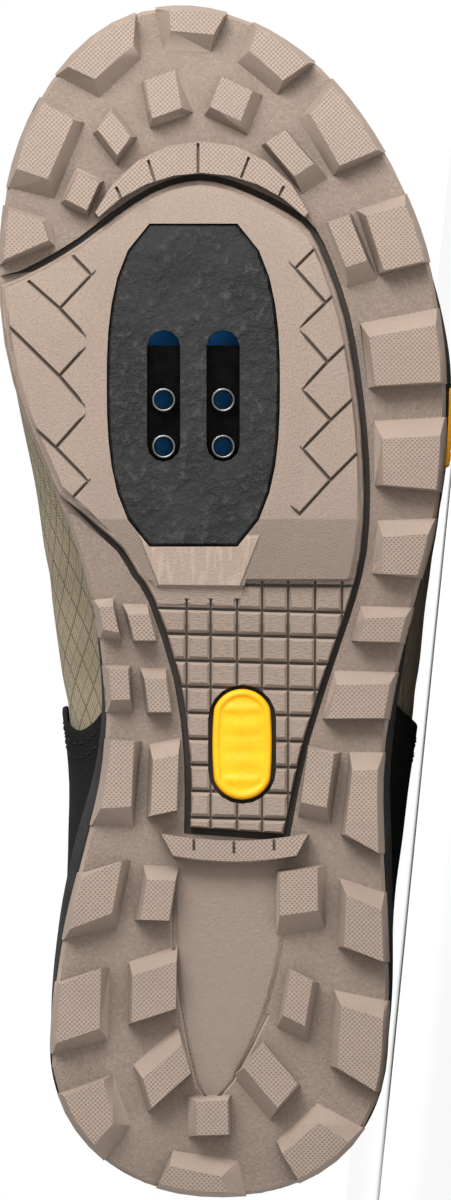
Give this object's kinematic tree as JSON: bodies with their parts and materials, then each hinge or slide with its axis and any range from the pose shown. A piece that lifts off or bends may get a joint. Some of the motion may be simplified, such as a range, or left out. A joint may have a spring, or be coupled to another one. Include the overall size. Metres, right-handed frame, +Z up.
{
  "type": "cycling shoe",
  "caption": "Left off-road cycling shoe lying on its outer side, with a lugged rubber sole, a slotted cleat plate, a hollow cloth upper, a laced throat and a tongue.",
  "frame": {"origin": "centre of the bounding box, on the floor the shoe lies on", "axes": "+X from heel to toe, -Y the way the sole faces, +Z up, towards the shoe's inner side"},
  "size_m": [0.281, 0.1118, 0.1119],
  "materials": {
    "tread_rubber": "matt moulded rubber with fine grain, diamond-cut lug tops",
    "midsole_foam": "matt dark foam",
    "plate": "black, scuffed",
    "nut_steel": "plain steel, threaded bores",
    "insole_foam": "blue foam under cloth",
    "yellow_rubber": "smooth yellow rubber",
    "khaki_cloth": "olive khaki ripstop cloth",
    "black_cloth": "black smooth cloth with stitched edges",
    "facing": "black stitched facing",
    "tongue_cloth": "black padded cloth",
    "lace_cord": "flat woven lace",
    "eyelet_steel": "dark metal"
  },
  "bodies": {
    "root": {"outsole": "tread_rubber", "midsole": "midsole_foam", "cleat_plate": "plate", "cleat_nut": "nut_steel", "insole": "insole_foam", "arch_inset": "yellow_rubber", "side_tab": "yellow_rubber", "upper": "khaki_cloth", "heel_counter": "black_cloth", "eyestay": "facing", "tongue": "tongue_cloth", "lace": "lace_cord", "eyelet_01": "eyelet_steel", "eyelet_02": "eyelet_steel", "eyelet_03": "eyelet_steel", "eyelet_04": "eyelet_steel", "eyelet_05": "eyelet_steel", "eyelet_06": "eyelet_steel", "eyelet_07": "eyelet_steel", "eyelet_08": "eyelet_steel", "eyelet_09": "eyelet_steel", "eyelet_10": "eyelet_steel"}
  },
  "joints": []
}
